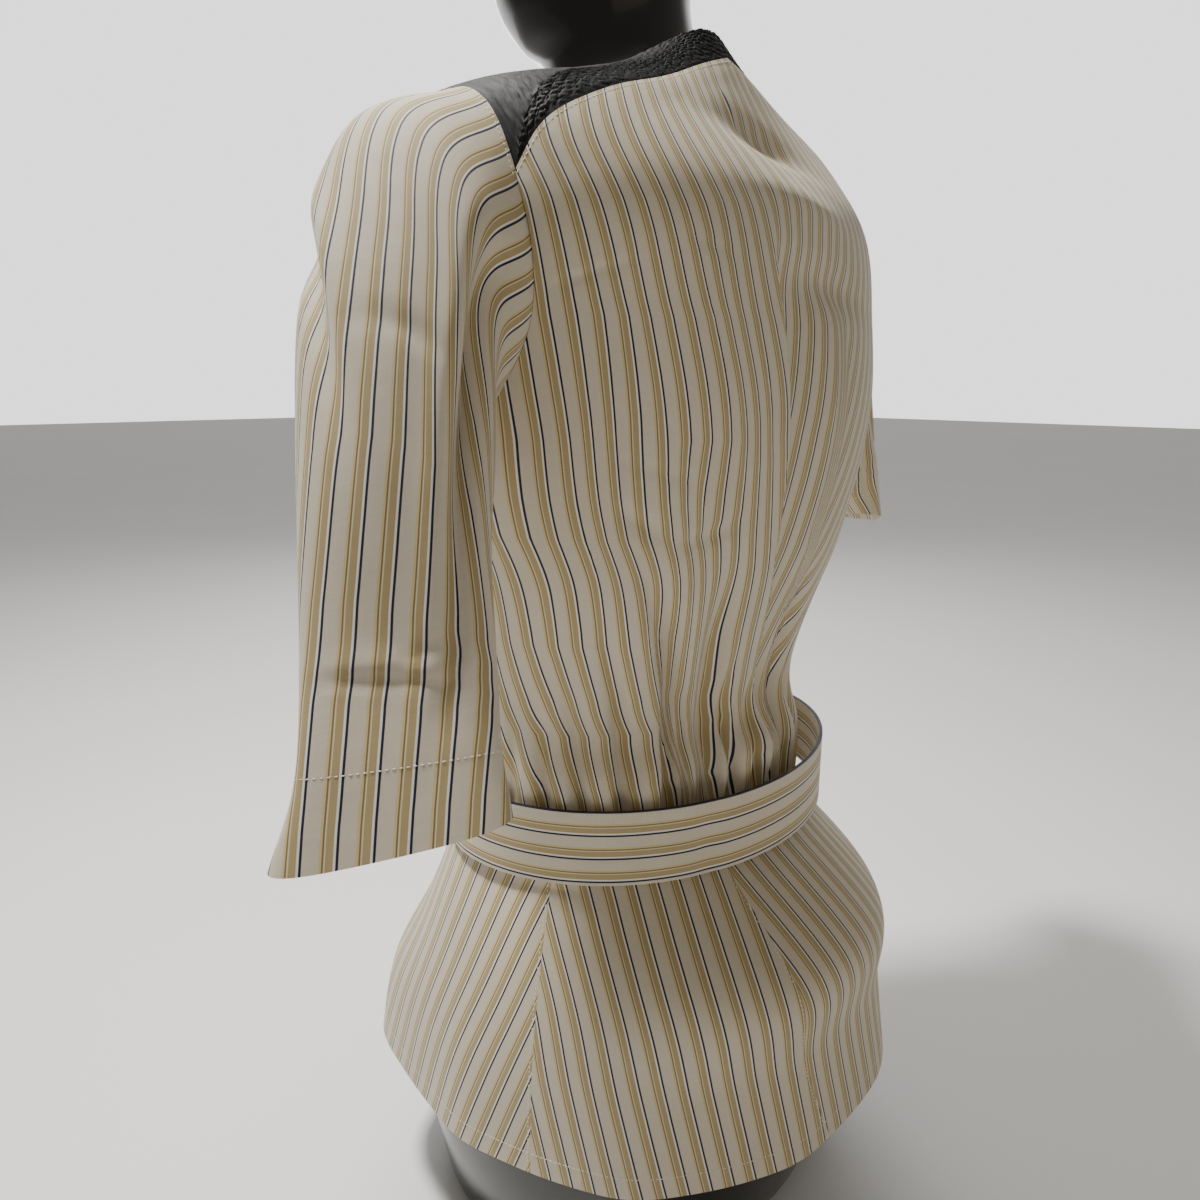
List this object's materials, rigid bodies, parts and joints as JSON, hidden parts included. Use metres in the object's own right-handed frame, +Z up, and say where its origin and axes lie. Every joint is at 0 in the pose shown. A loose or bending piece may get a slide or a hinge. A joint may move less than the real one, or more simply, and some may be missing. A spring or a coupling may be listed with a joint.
{
  "type": "tailored jacket on dress form",
  "caption": "Short-sleeved striped jacket with black yoke, belt and flared peplum, shown on a limbless dress form.",
  "frame": {"origin": "centre of the dress form's flat base", "axes": "+Z up, front towards -Y, the wearer's left towards +X"},
  "size_m": [0.5838, 0.3206, 0.767],
  "materials": {
    "striped_shirting": "crisp woven cotton with a silky face, ecru ground with navy, golden tan and greige stripes",
    "black_relief_weave": "black cloth with a raised blistered weave",
    "black_gloss": "smooth black gloss"
  },
  "bodies": {
    "root": {"dress_form": "black_gloss", "yoke": "black_relief_weave", "bodice_back": "striped_shirting", "bodice_front_left": "striped_shirting", "bodice_front_right": "striped_shirting", "sleeve_left": "striped_shirting", "sleeve_right": "striped_shirting", "sleeve_lower_left": "striped_shirting", "sleeve_lower_right": "striped_shirting", "sleeve_hem_left": "striped_shirting", "sleeve_hem_right": "striped_shirting", "belt": "striped_shirting", "peplum_front_left": "striped_shirting", "peplum_back_left": "striped_shirting", "peplum_back_right": "striped_shirting", "peplum_front_right": "striped_shirting"}
  },
  "joints": []
}
